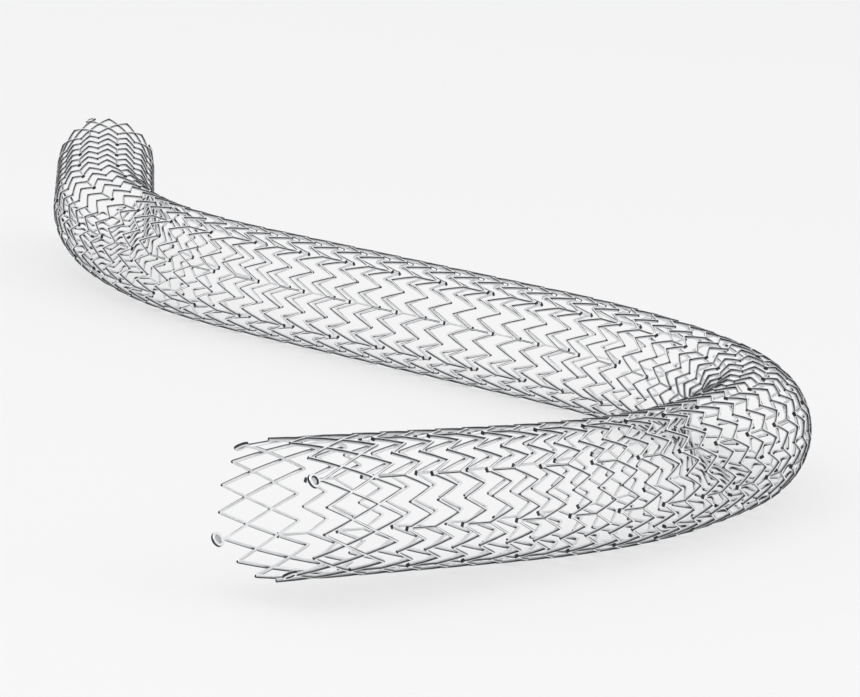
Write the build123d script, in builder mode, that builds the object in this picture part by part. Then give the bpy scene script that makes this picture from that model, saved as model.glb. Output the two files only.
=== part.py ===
# Self-expanding vascular stent, laid in an S on a flat surface with both ends sprung slightly up.
# One tube cut into zigzag rings joined by short bridges, with a marker disc pressed into each eyelet.
# Millimetres. The tube rests on z = 0 and the origin is under the middle of its bounding box.
import os
from math import cos, radians, sqrt, tan

from build123d import *

# Tube and rings
outer_radius = 4.0
wall = 0.22
crowns = 16  # crowns on each side of a ring
strut_width = 0.13
body_rings = 66
ring_pitch = 2.48
body_rise = 1.94  # along the tube, from a ring's near crowns to its far crowns
end_rise = 2.23  # the same for the closed-cell rings at the two ends
end_rings = 3
end_gap = 0.53  # from the last closed-cell crowns to the first open ring
crown_turn = -34.1  # where crown 0 lies round the tube, from the left-hand side of the travel

# Bridges
bridge_width = 0.12
bridge_wall = 0.2
bridge_step = 4  # every fourth crown carries a bridge
bridge_shift = 2  # every second gap has its bridges turned on by this many crowns

# Eyelets and marker discs
eyelet_radius = 0.43
eyelet_wall = 0.2
marker_radius = 0.25
eyelet_reach = 0.63  # from the end crowns' middle to an eyelet's middle
neck_width = 0.26
neck_length = 0.7

# Centre line seen from above: a near leg, a bend in three arcs, a straight far leg and a turn away
near_heading = -82.3
near_straight = 18.8
first_arc = (95.2, 18.6)  # radius and turn
main_arc = (35.9, 45.1)
last_arc = (53.7, 18.6)
far_straight = 31.5
far_arc = (46.0, -40.0)
far_end = 19.0

# Centre line seen from the side: the ends climb at a steady slope, eased to level over a stretch
near_slope = 0.039
near_ease = (25.4, 42.6)  # distances along the centre line
far_slope = 0.06
far_ease = (122.8, 159.0)

span = 360 / crowns / 2  # the angle from a near crown to the next far crown
flat = outer_radius * cos(radians(span / 2))  # from the axis to the flat of a strut
middle_radius = outer_radius - wall / 2

with BuildLine() as centre_line:
    near_leg = PolarLine((0, 0), near_straight, near_heading)
    first_bend = JernArc(near_leg @ 1, near_leg % 1, *first_arc)
    main_bend = JernArc(first_bend @ 1, first_bend % 1, *main_arc)
    last_bend = JernArc(main_bend @ 1, main_bend % 1, *last_arc)
    far_leg = Line(last_bend @ 1, last_bend @ 1 + (last_bend % 1) * far_straight)
    far_bend = JernArc(far_leg @ 1, far_leg % 1, *far_arc)
    Line(far_bend @ 1, far_bend @ 1 + (far_bend % 1) * far_end)
path = centre_line.wire()


def climb(distance, slope, level, steep):
    """Height and slope at a distance, for an end that is level at one distance and steady from another."""
    ease = abs(steep - level)
    share = min(1, max(0, (distance - level) / (steep - level)))
    beyond = max(0, abs(distance - level) - ease) if share == 1 else 0
    return slope * (ease * share**2 / 2 + beyond), slope * share


def ring_plane(distance):
    """The plane across the tube at a distance: x to the left, y up, z along the travel."""
    near_height, near_fall = climb(distance, near_slope, near_ease[1], near_ease[0])
    far_height, far_climb = climb(distance, far_slope, far_ease[0], far_ease[1])
    height = outer_radius + near_height + far_height
    along = path.tangent_at(distance, position_mode=PositionMode.LENGTH)
    centre = path.position_at(distance, position_mode=PositionMode.LENGTH) + Vector(0, 0, height)
    travel = along + Vector(0, 0, far_climb - near_fall)
    return Plane(centre, x_dir=Vector(0, 0, 1).cross(travel), z_dir=travel)


def turned(distance, crown):
    """A seat across the tube at a distance, turned to face a crown."""
    return ring_plane(distance).location * Location((0, 0, 0), (0, 0, crown_turn + crown * 2 * span))


def make_ring(rise):
    """A zigzag ring about z = 0, with a near crown at angle 0 and the far crowns up by its rise."""
    run = 2 * flat * tan(radians(span / 2))
    depth = strut_width * sqrt(1 + (rise / run) ** 2)
    reach = 2 * outer_radius
    side = reach * tan(radians(span / 2))
    with BuildPart() as strut:
        with BuildSketch(Plane.YZ.offset(flat - wall)):
            with BuildLine():
                Polyline((-run, -rise - depth / 2), (run, rise - depth / 2), (run, rise + depth / 2),
                         (-run, -rise + depth / 2), close=True)
            make_face()
        extrude(amount=wall)
        # the mitres at both crowns
        with BuildSketch(Plane.XY.offset(-2 * rise)):
            with BuildLine():
                Polyline((0, 0), (reach, side), (reach, -side), close=True)
            make_face()
        extrude(amount=4 * rise, mode=Mode.INTERSECT)
    with BuildPart() as crown:
        with Locations(Location((0, 0, 0), (0, 0, span / 2))):
            add(strut.part)
        mirror(about=Plane.XZ)
    with BuildPart() as ring:
        with PolarLocations(0, crowns):
            add(crown.part)
    return ring.part


def make_bridge(start, end, crown):
    """A bar from inside a crown at one distance to the tip of the crown facing it at another."""
    first = (turned(start, crown) * Pos(middle_radius, 0, 0)).position
    second = (turned(end, crown) * Pos(middle_radius, 0, 0)).position
    outward = first - ring_plane(start).origin
    with BuildPart() as bridge:
        with BuildSketch(Plane(first, x_dir=outward, z_dir=second - first)):
            Rectangle(bridge_wall, bridge_width)
        extrude(amount=(second - first).length)
    return bridge.part


# Eyelet plate and marker disc, lying on the tube wall at angle 0 with the tube's end towards -z
with BuildPart() as eyelet:
    with BuildSketch(Plane.YZ.offset(middle_radius - eyelet_wall / 2)):
        Circle(eyelet_radius)
        with Locations((0, neck_length / 2)):
            Rectangle(neck_width, neck_length)
        Circle(marker_radius, mode=Mode.SUBTRACT)
    extrude(amount=eyelet_wall)
with BuildPart() as marker:
    with BuildSketch(Plane.YZ.offset(middle_radius - eyelet_wall / 2)):
        Circle(marker_radius)
    extrude(amount=eyelet_wall)

body_ring = make_ring(body_rise)
end_ring = make_ring(end_rise)
flip = Location((0, 0, 0), (180, 0, 0))

pieces = []
markers = []
first_open = end_rings * end_rise + end_gap
last_open = first_open + (body_rings - 1) * ring_pitch
length = last_open + body_rise + end_gap + end_rings * end_rise

# Closed-cell rings, whose crowns meet tip to tip, with an eyelet on every fourth crown of the outer one
for row in range(end_rings):
    middle = (row + 0.5) * end_rise
    pieces.append(turned(middle, row % 2 / 2) * end_ring)
    pieces.append(turned(length - middle, row % 2 / 2) * end_ring)
for crown in range(0, crowns, bridge_step):
    near_seat = turned(0, crown) * Pos(0, 0, -eyelet_reach)
    far_seat = turned(length, crown + 0.5) * Pos(0, 0, eyelet_reach) * flip
    pieces.append(near_seat * eyelet.part)
    pieces.append(far_seat * eyelet.part)
    markers.append((f"marker_near_{crown // bridge_step + 1}", near_seat))
    markers.append((f"marker_far_{crown // bridge_step + 1}", far_seat))

# Open rings down the body
near_crowns = [first_open + index * ring_pitch for index in range(body_rings)]
for distance in near_crowns:
    pieces.append(turned(distance + body_rise / 2, 0) * body_ring)

# Bridges: from the closed cells to the first open ring, ring to ring, and on to the far closed cells
inside = 0.06  # how far past a crown's middle a bridge starts
tip = 0.02
for crown in range(0, crowns, bridge_step):
    pieces.append(make_bridge((end_rings - 1) * end_rise + inside, first_open + tip, crown))
    far_start = last_open + body_rise - tip
    far_end = length - (end_rings - 1) * end_rise - inside
    pieces.append(make_bridge(far_start, far_end, crown + 0.5))
for index, (start, end) in enumerate(zip(near_crowns, near_crowns[1:])):
    for crown in range(0, crowns, bridge_step):
        shift = bridge_shift * ((index + 1) % 2)
        pieces.append(make_bridge(start + inside, end + tip, crown + shift))

with BuildPart() as whole:
    add(pieces, clean=False)

# Under the middle of the bounding box
box = whole.part.bounding_box()
to_origin = Pos(-box.center().X, -box.center().Y, 0)
os.makedirs("parts", exist_ok=True)
stent_frame = to_origin * whole.part
stent_frame.label = "stent_frame"
export_step(stent_frame, "parts/stent_frame.step", write_pcurves=False)
for name, seat in markers:
    disc = to_origin * seat * marker.part
    disc.label = name
    export_step(disc, f"parts/{name}.step", write_pcurves=False)
print("length", round(length, 2), "of", round(path.length, 2), "box", box.size, "from z", round(box.min.Z, 4))
print("centre line starts at", (to_origin * Pos(0, 0, 0)).position)
print("solids", len(stent_frame.solids()), "faces", len(stent_frame.faces()))
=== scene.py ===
# Vascular stent lying in an S, seen from beside its near end. Metres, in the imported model's frame.
from math import atan, cos, pi, radians, sin, tan

import bpy
from mathutils import Matrix, Vector


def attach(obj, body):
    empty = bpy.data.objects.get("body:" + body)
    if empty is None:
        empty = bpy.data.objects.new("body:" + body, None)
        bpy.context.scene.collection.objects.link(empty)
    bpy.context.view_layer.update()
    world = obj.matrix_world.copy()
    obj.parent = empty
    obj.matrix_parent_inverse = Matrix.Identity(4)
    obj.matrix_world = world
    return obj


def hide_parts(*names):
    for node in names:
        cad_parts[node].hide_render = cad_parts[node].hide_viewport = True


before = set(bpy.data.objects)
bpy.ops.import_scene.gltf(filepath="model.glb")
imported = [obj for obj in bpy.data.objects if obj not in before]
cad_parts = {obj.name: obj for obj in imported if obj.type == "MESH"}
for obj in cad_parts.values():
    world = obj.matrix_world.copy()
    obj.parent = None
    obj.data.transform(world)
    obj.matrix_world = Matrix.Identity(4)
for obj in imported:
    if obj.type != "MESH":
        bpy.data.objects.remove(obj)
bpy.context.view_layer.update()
mm = 0.001

# The tube: its centre line and rings
tube = {
    "radius": 4.0 * mm,
    "wall": 0.22 * mm,
    "crowns": 16,  # on each side of a ring
    "bodyRings": 66,
    "ringPitch": 2.48 * mm,
    "bodyRise": 1.94 * mm,  # near crowns to far crowns
    "endRise": 2.23 * mm,
    "endRings": 3,
    "endGap": 0.53 * mm,
    "crownTurn": radians(-34.1),
    "nearMouth": (-62.002 * mm, 46.785 * mm),
    "nearHeading": radians(-82.3),
    "runs": [(18.8, 0.0), (30.905, 18.6), (28.258, 45.1), (17.433, 18.6),
             (31.5, 0.0), (32.114, -40.0), (19.0, 0.0)],  # lengths in mm and turns in degrees
    "nearEase": (25.4 * mm, 42.6 * mm),  # where the near end's slope starts to fade, and where it is level
    "nearSlope": 0.039,
    "farEase": (122.8 * mm, 159.0 * mm),  # where the far end leaves the level, and where its slope is steady
    "farSlope": 0.06,
}
middleRadius = tube["radius"] - tube["wall"] / 2
spanAngle = pi / tube["crowns"]  # from a near crown to the next far crown
halfCrown = 0.5  # far crowns lie half a crown on from near ones
firstOpen = tube["endRings"] * tube["endRise"] + tube["endGap"]
lastOpen = firstOpen + (tube["bodyRings"] - 1) * tube["ringPitch"]
tubeLength = lastOpen + tube["bodyRise"] + firstOpen


def centreLine(distance):  # x, y and heading
    x, y = tube["nearMouth"]
    heading = tube["nearHeading"]
    left = distance
    for index, (run, turn) in enumerate(tube["runs"]):
        last = index == len(tube["runs"]) - 1
        part = left if last else min(left, run * mm)
        bend = radians(turn) / (run * mm)
        if bend:
            x += (sin(heading + bend * part) - sin(heading)) / bend
            y += (cos(heading) - cos(heading + bend * part)) / bend
        else:
            x += part * cos(heading)
            y += part * sin(heading)
        heading += bend * part
        left -= part
        if left <= 0 and not last:
            break
    return x, y, heading


def climb(distance, slope, level, steep):  # height and slope towards an end
    ease = abs(steep - level)
    share = min(1, max(0, (distance - level) / (steep - level)))
    beyond = max(0, abs(distance - level) - ease) if share == 1 else 0
    return slope * (ease * share ** 2 / 2 + beyond), slope * share


class ringSeat:  # a place across the tube, where angle 0 is the left-hand side of the travel
    def __init__(self, distance):
        x, y, heading = centreLine(distance)
        nearHeight, nearFall = climb(distance, tube["nearSlope"], tube["nearEase"][1], tube["nearEase"][0])
        farHeight, farClimb = climb(distance, tube["farSlope"], *tube["farEase"])
        self.middle = Vector((x, y, tube["radius"] + nearHeight + farHeight))
        self.travel = Vector((cos(heading), sin(heading), farClimb - nearFall)).normalized()
        self.leftward = Vector((-sin(heading), cos(heading), 0))
        self.upward = self.travel.cross(self.leftward)

    def outward(self, angle):
        return self.leftward * cos(angle) + self.upward * sin(angle)

    def wallPoint(self, angle, along):
        return self.middle + self.travel * along + self.outward(angle) * middleRadius


def crownAngle(crown):
    return tube["crownTurn"] + crown * 2 * spanAngle


# Ribbons: stations with a left and a right edge, extruded through the wall with bevelled edges
# The cut sides and cut tips get dark colours below: painted shade, standing in for dark reflections on those
# walls.
outerFace, cutSidePaintedShade, innerFace, cutTipPaintedShade = range(4)
frameFinishes = ("polished_face", "cut_side_painted_shade", "inner_face", "cut_tip_painted_shade")  # in the order of the line above
ribbonFinishes = [cutSidePaintedShade, outerFace, cutSidePaintedShade, cutSidePaintedShade, innerFace, innerFace, innerFace, cutSidePaintedShade]
corners = len(ribbonFinishes)  # round each station, from the right side's outer corner
leftWall, rightWall = 3, 7  # the faces between the bevels, as they count in ribbonFinishes
cornerDepths = [0.0] * 4 + [1.0] * 4  # 0 at the tube's outer face, 1 at its inner face
strutLook = {
    "width": 0.136 * mm,
    "thickness": 0.215 * mm,
    "edge": 0.034 * mm,  # bevel
    "tipCut": 0.05 * mm,  # how far a blunt tip stands from the crown's middle
    "crotch": 0.008 * mm,  # half the width inside a crown
}
sharpAngle = radians(32)


def newPart():
    return {"points": [], "faces": [], "finishes": [], "depths": []}


def addRibbon(part, stations, thickness, edge, closed, blunt=()):
    count = len(stations)
    first = len(part["points"])
    half = thickness / 2
    for seat, right, left in stations:  # each edge is an angle round the seat and a distance along
        rightPoint = seat.wallPoint(*right)
        leftPoint = seat.wallPoint(*left)
        inward = (leftPoint - rightPoint).normalized() * edge
        rightOut, leftOut = seat.outward(right[0]), seat.outward(left[0])
        part["points"] += [rightPoint + rightOut * (half - edge), rightPoint + inward + rightOut * half,
                           leftPoint - inward + leftOut * half, leftPoint + leftOut * (half - edge),
                           leftPoint - leftOut * (half - edge), leftPoint - inward - leftOut * half,
                           rightPoint + inward - rightOut * half, rightPoint - rightOut * (half - edge)]
        part["depths"] += cornerDepths
    for i in range(count if closed else count - 1):
        a = first + i * corners
        b = first + (i + 1) % count * corners
        for k in range(corners):
            n = (k + 1) % corners
            part["faces"].append((a + k, a + n, b + n, b + k))
            part["finishes"].append(cutTipPaintedShade if (i, k) in blunt else ribbonFinishes[k])
    if not closed:
        # Open ends take the dark tip colour: painted shade.
        end = first + count * corners
        part["faces"].append(tuple(range(first + corners - 1, first - 1, -1)))
        part["faces"].append(tuple(range(end - corners, end)))
        part["finishes"] += [cutTipPaintedShade, cutTipPaintedShade]


def finishPart(part, name):
    mesh = bpy.data.meshes.new(name)
    mesh.from_pydata(part["points"], [], part["faces"])
    mesh.polygons.foreach_set("material_index", part["finishes"])
    mesh.polygons.foreach_set("use_smooth", [True] * len(mesh.polygons))
    mesh.set_sharp_from_angle(angle=sharpAngle)
    if part["depths"]:
        mesh.attributes.new("wall_depth", "FLOAT", "POINT").data.foreach_set("value", part["depths"])
    mesh.validate()
    piece = bpy.data.objects.new(name, mesh)
    bpy.context.scene.collection.objects.link(piece)
    return piece


# Zigzag rings, with mitred crowns cut blunt at the tip
def zigzag(rise):  # right and left edges of one near crown and one far crown, round the tube and along it
    flatWidth = middleRadius * spanAngle
    lean = atan(rise / flatWidth)
    deep = strutLook["width"] / 2 / cos(lean)  # from a crown's middle to its mitre's corner
    tip = strutLook["tipCut"]
    blunt = (deep - tip) / tan(lean)
    crotch = strutLook["crotch"]
    crown = [((-blunt, -tip), (-crotch, deep)), ((blunt, -tip), (crotch, deep))]
    side = strutLook["width"] / 2 * sin(lean)
    down = strutLook["width"] / 2 * cos(lean)
    stations = [((x, y - rise / 2), (u, v - rise / 2)) for (x, y), (u, v) in crown]
    stations.append(((flatWidth / 2 + side, -down), (flatWidth / 2 - side, down)))
    stations += [((flatWidth + u, rise / 2 - v), (flatWidth + x, rise / 2 - y)) for (x, y), (u, v) in crown]
    stations.append(((1.5 * flatWidth - side, -down), (1.5 * flatWidth + side, down)))
    return stations


def addRing(part, distance, rise, crown):
    seat = ringSeat(distance)
    outline = zigzag(rise)
    stations = []
    tips = set()
    for index in range(tube["crowns"]):
        start = crownAngle(crown + index)
        # Each crown's tip walls take the dark tip colour: painted shade at the crowns.
        tips.add((len(stations), rightWall))
        tips.add((len(stations) + len(outline) // 2, leftWall))
        for right, left in outline:
            rightEdge = (start + right[0] / middleRadius, right[1])
            leftEdge = (start + left[0] / middleRadius, left[1])
            stations.append((seat, rightEdge, leftEdge))
    addRibbon(part, stations, strutLook["thickness"], strutLook["edge"], True, tips)


endCells = newPart()
for row in range(tube["endRings"]):
    middle = (row + 0.5) * tube["endRise"]
    for distance in (middle, tubeLength - middle):
        addRing(endCells, distance, tube["endRise"], row % 2 * halfCrown)
nearCrowns = [firstOpen + index * tube["ringPitch"] for index in range(tube["bodyRings"])]
halves = [newPart(), newPart()]
for index, distance in enumerate(nearCrowns):
    addRing(halves[index * 2 // len(nearCrowns)], distance + tube["bodyRise"] / 2, tube["bodyRise"], 0)
print("rings done")

# Bridges, each from a broad knuckle over the crown that carries it
bridgeLook = {
    "step": 4,  # every fourth crown carries one
    "shift": 2,  # every second gap has its bridges turned on by two crowns
    "width": 0.125 * mm,
    "thickness": 0.2 * mm,
    "edge": 0.048 * mm,
    "middle": 0.7,  # where along the run it has one more station
    "knuckle": 0.33 * mm,  # greatest width
    "knuckleStart": 0.88,  # share of that width at its start
    "knuckleShape": [(0.2, 1.0), (0.6, 0.62)],  # shares of its length and width further on
    "knuckleLength": 0.34 * mm,
    "knuckleAhead": 0.06 * mm,  # how far it starts before the crown's middle
    "knuckleDepth": 1.03,  # share of a strut's thickness
}
bridges = newPart()


# way is 1 where the crown that carries the bridge opens along the travel, and -1 where it opens against it
def addBridge(start, end, crown, way, ahead):
    run = end - start
    broad, length = bridgeLook["knuckle"], bridgeLook["knuckleLength"]
    outline = [(-ahead, broad * bridgeLook["knuckleStart"])]
    outline += [(length * along, broad * across) for along, across in bridgeLook["knuckleShape"]]
    knuckleEnd = len(outline)
    outline += [(place, bridgeLook["width"]) for place in (length, run * bridgeLook["middle"], run)]
    stations = []
    for place, width in outline:
        seat = ringSeat(start + place if way > 0 else end - place)
        turn, half = crownAngle(crown), way * width / 2 / middleRadius
        stations.append((seat, (turn + half, 0), (turn - half, 0)))
    depth = strutLook["thickness"] * bridgeLook["knuckleDepth"]
    addRibbon(bridges, stations[:knuckleEnd + 1], depth, strutLook["edge"], False)
    addRibbon(bridges, stations[knuckleEnd:], bridgeLook["thickness"], bridgeLook["edge"], False)


closedEnd = 2 * tube["endRise"]  # where the innermost closed-cell ring starts
for crown in range(0, tube["crowns"], bridgeLook["step"]):
    addBridge(closedEnd, firstOpen, crown, 1, 0)
    addBridge(lastOpen + tube["bodyRise"], tubeLength - closedEnd, crown + halfCrown, -1, 0)
    for index in range(tube["bodyRings"] - 1):
        shifted = crown + bridgeLook["shift"] * ((index + 1) % 2)
        addBridge(nearCrowns[index], nearCrowns[index + 1], shifted, 1, bridgeLook["knuckleAhead"])
print("bridges done")

# Eyelets and the marker discs pressed into them
eyeletLook = {
    "count": 4,  # at each end
    "radius": 0.43 * mm,
    "hole": 0.25 * mm,
    "reach": 0.63 * mm,  # from the end crowns' middle to the eyelet's middle
    "neck": 0.2 * mm,
    "neckDepth": 0.97,  # share of a strut's thickness
    "thickness": 0.21 * mm,
    "edge": 0.03 * mm,
    "steps": 40,  # round it
}
# radius and height of the disc's outline in mm, from its middle out and down
discLook = [(0.0, 0.07), (0.1, 0.068), (0.17, 0.06), (0.205, 0.045), (0.22, 0.02), (0.245, 0.015),
            (0.245, -0.08), (0.2, -0.095), (0.0, -0.1)]
# The eyelet's outer wall and hole wall take the dark tip colour: painted shade, which draws a dark ring
# round the marker disc.
rimFinishes = [outerFace, outerFace, cutTipPaintedShade, cutTipPaintedShade, innerFace, innerFace, innerFace, cutTipPaintedShade]
eyelets = newPart()
markers = []


def addEyelet(distance, crown, way, markerName):
    seat = ringSeat(distance)
    turn = crownAngle(crown)
    out = seat.outward(turn)
    middle = seat.wallPoint(turn, way * eyeletLook["reach"])
    side = out.cross(seat.travel)
    steps = eyeletLook["steps"]
    circle = [seat.travel * cos(2 * pi * k / steps) + side * sin(2 * pi * k / steps) for k in range(steps)]
    radius, hole = eyeletLook["radius"], eyeletLook["hole"]
    half, edge = eyeletLook["thickness"] / 2, eyeletLook["edge"]
    rim = [(radius, half - edge), (radius - edge, half), (hole + edge, half), (hole, half - edge),
           (hole, edge - half), (hole + edge, -half), (radius - edge, -half), (radius, edge - half)]
    first = len(eyelets["points"])
    for k in range(steps):
        eyelets["points"] += [middle + circle[k] * r + out * h for r, h in rim]
        eyelets["depths"] += cornerDepths
        a, b = first + k * corners, first + (k + 1) % steps * corners
        for j in range(corners):
            n = (j + 1) % corners
            eyelets["faces"].append((a + j, a + n, b + n, b + j))
            eyelets["finishes"].append(rimFinishes[j])
    neckHalf = way * eyeletLook["neck"] / 2 / middleRadius
    neckStart = way * (eyeletLook["reach"] - (radius + hole) / 2)  # inside the rim
    neck = [(seat, (turn + neckHalf, along), (turn - neckHalf, along)) for along in (neckStart, 0)]
    addRibbon(eyelets, neck, strutLook["thickness"] * eyeletLook["neckDepth"], strutLook["edge"], False)
    addDisc(middle, out, circle, markerName)


def addDisc(middle, out, circle, markerName):
    steps = len(circle)
    disc = newPart()
    disc["points"] = [middle + out * discLook[0][1] * mm]
    for r, h in discLook[1:-1]:
        disc["points"] += [middle + spoke * r * mm + out * h * mm for spoke in circle]
    disc["points"].append(middle + out * discLook[-1][1] * mm)
    last = 1 + (len(discLook) - 3) * steps
    for k in range(steps):
        n = (k + 1) % steps
        disc["faces"].append((0, 1 + n, 1 + k))
        for a in range(1, last, steps):
            disc["faces"].append((a + k, a + n, a + steps + n, a + steps + k))
        disc["faces"].append((last + k, last + n, len(disc["points"]) - 1))
    disc["finishes"] = [0] * len(disc["faces"])
    piece = finishPart(disc, markerName + "_disc")
    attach(piece, "root")
    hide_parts(markerName)
    markers.append(piece)


for index in range(eyeletLook["count"]):
    crown = index * tube["crowns"] // eyeletLook["count"]
    addEyelet(0, crown, -1, f"marker_near_{index + 1}")
    addEyelet(tubeLength, crown + halfCrown, 1, f"marker_far_{index + 1}")
print("eyelets done")

framePieces = [
    finishPart(endCells, "end_cells"),
    finishPart(halves[0], "near_rings"),
    finishPart(halves[1], "far_rings"),
    finishPart(bridges, "ring_bridges"),
    finishPart(eyelets, "eyelets"),
]
for piece in framePieces:
    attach(piece, "root")
    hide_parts("stent_frame")
print("frame done,", sum(len(piece.data.polygons) for piece in framePieces), "faces")

# Metal finishes: two colours mixed by soft noise, with fine noise for roughness and a faint bump. The dark
# colours of the cut sides and cut tips are painted shade.
finishLook = {
    "polished_face": {"light": (0.95, 0.955, 0.965), "dark": (0.84, 0.845, 0.86),
                      "roughness": 0.2, "bump": 0.05},
    # The cut sides' dark colour is painted shade, standing in for the dark reflections these walls would
    # show.
    "cut_side_painted_shade": {"light": (0.12, 0.122, 0.128), "dark": (0.045, 0.046, 0.05),
                 "inner": (0.82, 0.825, 0.84),  # towards the tube's inner face, where the painted shade fades to pale
                 "roughness": 0.3, "bump": 0.25},
    # The tips' near-black colour is painted shade at the crown tips, strut ends and eyelet walls.
    "cut_tip_painted_shade": {"light": (0.07, 0.072, 0.078), "dark": (0.03, 0.031, 0.034),
                "roughness": 0.4, "bump": 0.25},
    "inner_face": {"light": (0.94, 0.945, 0.955), "dark": (0.84, 0.845, 0.86),
                   "roughness": 0.35, "bump": 0.1},
    "marker_tantalum": {"light": (0.6, 0.605, 0.62), "dark": (0.4, 0.405, 0.42),
                        "roughness": 0.4, "bump": 0.2},
}
metalNoise = {
    "cloud": (1400.0, 4.0),  # scale and detail
    "grain": (30000.0, 2.0),
    "colourSpread": (0.3, 0.6),  # the part of the cloud noise that runs from dark to light
    "roughSpread": (0.75, 1.25),  # shares of the roughness
    "bumpHeight": 0.004 * mm,
    "innerFade": (0.18, 0.7),  # depths in the wall between which the painted shade on the cut sides fades to pale
}


def joinNodes(tree, joins):
    for a, b in joins:
        tree.links.new(a, b)


def noise(tree, kind):
    node = tree.nodes.new("ShaderNodeTexNoise")
    node.inputs["Scale"].default_value, node.inputs["Detail"].default_value = metalNoise[kind]
    return node


def mapRange(tree, side, ends):  # side is From or To
    node = tree.nodes.new("ShaderNodeMapRange")
    node.inputs[side + " Min"].default_value, node.inputs[side + " Max"].default_value = ends
    return node


def metal(name):
    look = finishLook[name]
    material = bpy.data.materials.new(name)
    material.use_nodes = True
    tree = material.node_tree
    shader = tree.nodes["Principled BSDF"]
    shader.inputs["Metallic"].default_value = 1.0
    place = tree.nodes.new("ShaderNodeTexCoord")
    cloud, grain = noise(tree, "cloud"), noise(tree, "grain")
    tint = tree.nodes.new("ShaderNodeMix")
    tint.data_type = "RGBA"
    tint.inputs["A"].default_value = (*look["dark"], 1)
    tint.inputs["B"].default_value = (*look["light"], 1)
    spread = mapRange(tree, "From", metalNoise["colourSpread"])
    rough = mapRange(tree, "To", [look["roughness"] * share for share in metalNoise["roughSpread"]])
    bump = tree.nodes.new("ShaderNodeBump")
    bump.inputs["Strength"].default_value = look["bump"]
    bump.inputs["Distance"].default_value = metalNoise["bumpHeight"]
    colour = tint.outputs["Result"]
    if "inner" in look:  # the painted shade on the cut sides fades to pale towards the inner face
        depth = tree.nodes.new("ShaderNodeAttribute")
        depth.attribute_name = "wall_depth"
        fade = mapRange(tree, "From", metalNoise["innerFade"])
        fade.interpolation_type = "SMOOTHSTEP"
        blend = tree.nodes.new("ShaderNodeMix")
        blend.data_type = "RGBA"
        blend.inputs["B"].default_value = (*look["inner"], 1)
        joinNodes(tree, ((depth.outputs["Fac"], fade.inputs["Value"]),
                         (fade.outputs["Result"], blend.inputs["Factor"]),
                         (colour, blend.inputs["A"])))
        colour = blend.outputs["Result"]
    joinNodes(tree, ((place.outputs["Object"], cloud.inputs["Vector"]),
                     (place.outputs["Object"], grain.inputs["Vector"]),
                     (cloud.outputs["Fac"], spread.inputs["Value"]),
                     (spread.outputs["Result"], tint.inputs["Factor"]),
                     (colour, shader.inputs["Base Color"]),
                     (grain.outputs["Fac"], rough.inputs["Value"]),
                     (rough.outputs["Result"], shader.inputs["Roughness"]),
                     (grain.outputs["Fac"], bump.inputs["Height"]),
                     (bump.outputs["Normal"], shader.inputs["Normal"])))
    return material


finishes = {name: metal(name) for name in finishLook}
for piece in framePieces:
    for name in frameFinishes:
        piece.data.materials.append(finishes[name])
for piece in markers:
    piece.data.materials.append(finishes["marker_tantalum"])
for name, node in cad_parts.items():
    node.data.materials.clear()
    node.data.materials.append(finishes["marker_tantalum" if name.startswith("marker") else "polished_face"])
print("finishes done")

# Studio: a pale floor, soft light and the camera
studio = {
    "floorColour": (0.88, 0.88, 0.885),
    "floorRoughness": 0.9,
    "floorReach": 3.0,
    "floorHeight": -0.02 * mm,
    "paperWhite": (0.92, 0.92, 0.925),
    "paperGlow": 0.5,  # share of that plain white where the floor is seen, which softens the shadow
    "worldStrength": 0.93,
    "lights": {  # spot, size and power
        "key_light": ((-0.1, 0.35, 0.5), 0.4, 0.5),
        "fill_light": ((-0.4, -0.2, 0.3), 0.3, 0.17),
    },
}
reach = studio["floorReach"]
floorMesh = bpy.data.meshes.new("floor")
floorCorners = [(-reach, -reach, 0), (reach, -reach, 0), (reach, reach, 0), (-reach, reach, 0)]
floorMesh.from_pydata(floorCorners, [], [(0, 1, 2, 3)])
floor = bpy.data.objects.new("floor", floorMesh)
floor.location.z = studio["floorHeight"]
bpy.context.scene.collection.objects.link(floor)
paper = bpy.data.materials.new("paper")
paper.use_nodes = True
paperTree = paper.node_tree
paperShader = paperTree.nodes["Principled BSDF"]
paperShader.inputs["Base Color"].default_value = (*studio["floorColour"], 1)
paperShader.inputs["Roughness"].default_value = studio["floorRoughness"]
glow = paperTree.nodes.new("ShaderNodeEmission")
glow.inputs["Color"].default_value = (*studio["paperWhite"], 1)
glow.inputs["Strength"].default_value = 1.0
ray = paperTree.nodes.new("ShaderNodeLightPath")
seen = paperTree.nodes.new("ShaderNodeMath")
seen.operation = "MAXIMUM"
glowShare = paperTree.nodes.new("ShaderNodeMath")
glowShare.operation = "MULTIPLY"
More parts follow.
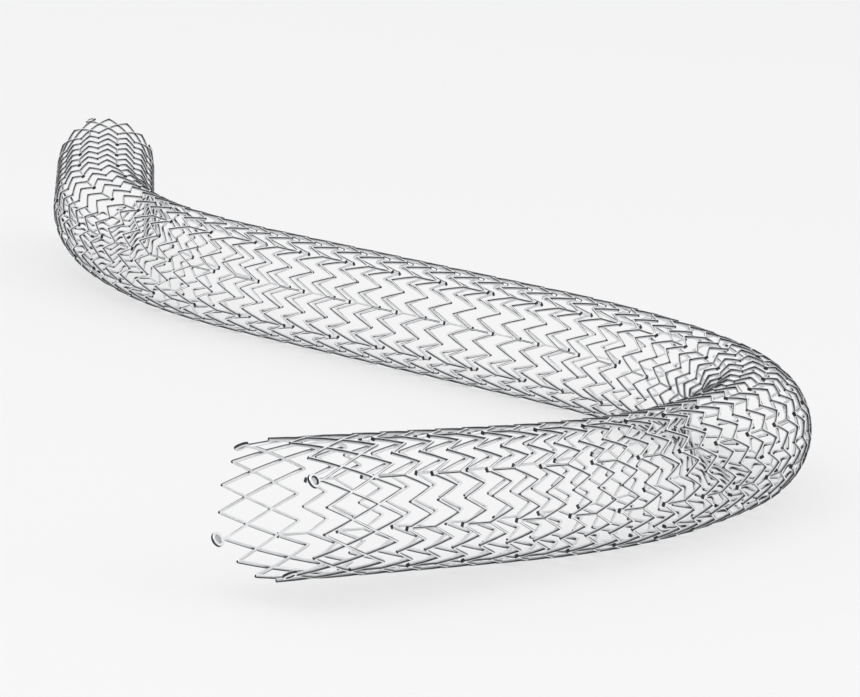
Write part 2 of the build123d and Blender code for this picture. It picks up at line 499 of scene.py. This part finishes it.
glowShare.inputs[1].default_value = studio["paperGlow"]
blend = paperTree.nodes.new("ShaderNodeMixShader")
joinNodes(paperTree, ((ray.outputs["Is Camera Ray"], seen.inputs[0]),
                      (ray.outputs["Is Glossy Ray"], seen.inputs[1]),
                      (seen.outputs[0], glowShare.inputs[0]),
                      (glowShare.outputs[0], blend.inputs["Fac"]),
                      (paperShader.outputs["BSDF"], blend.inputs[1]),
                      (glow.outputs["Emission"], blend.inputs[2]),
                      (blend.outputs["Shader"], paperTree.nodes["Material Output"].inputs["Surface"])))
floorMesh.materials.append(paper)

world = bpy.data.worlds.new("studio")
world.use_nodes = True
bpy.context.scene.world = world
sky = world.node_tree.nodes["Background"]
sky.inputs["Color"].default_value = (1, 1, 1, 1)
sky.inputs["Strength"].default_value = studio["worldStrength"]


def softLight(name, spot, size, power):  # a square lamp that faces the origin
    lamp = bpy.data.lights.new(name, "AREA")
    lamp.shape = "SQUARE"
    lamp.size = size
    lamp.energy = power
    light = bpy.data.objects.new(name, lamp)
    light.location = spot
    light.rotation_euler = (-Vector(spot)).to_track_quat("-Z", "Y").to_euler()
    bpy.context.scene.collection.objects.link(light)


for name, look in studio["lights"].items():
    softLight(name, *look)

view = {
    "spot": (-282.54 * mm, 246.94 * mm, 57.34 * mm),
    "aim": (-11.85 * mm, -12.18 * mm, 4.0 * mm),
    "roll": radians(4.53),
    "lens": 229.8,
    "sensorWidth": 36.0,
    "nearClip": 0.01,
}
cameraData = bpy.data.cameras.new("camera")
cameraData.lens = view["lens"]
cameraData.sensor_width = view["sensorWidth"]
cameraData.clip_start = view["nearClip"]
camera = bpy.data.objects.new("camera", cameraData)
sight = Vector(view["aim"]) - Vector(view["spot"])
turned = sight.to_track_quat("-Z", "Y").to_matrix() @ Matrix.Rotation(view["roll"], 3, "Z")
camera.matrix_world = Matrix.Translation(view["spot"]) @ turned.to_4x4()
bpy.context.scene.collection.objects.link(camera)
bpy.context.scene.camera = camera
bpy.context.scene.view_settings.view_transform = "Standard"
print("studio done")
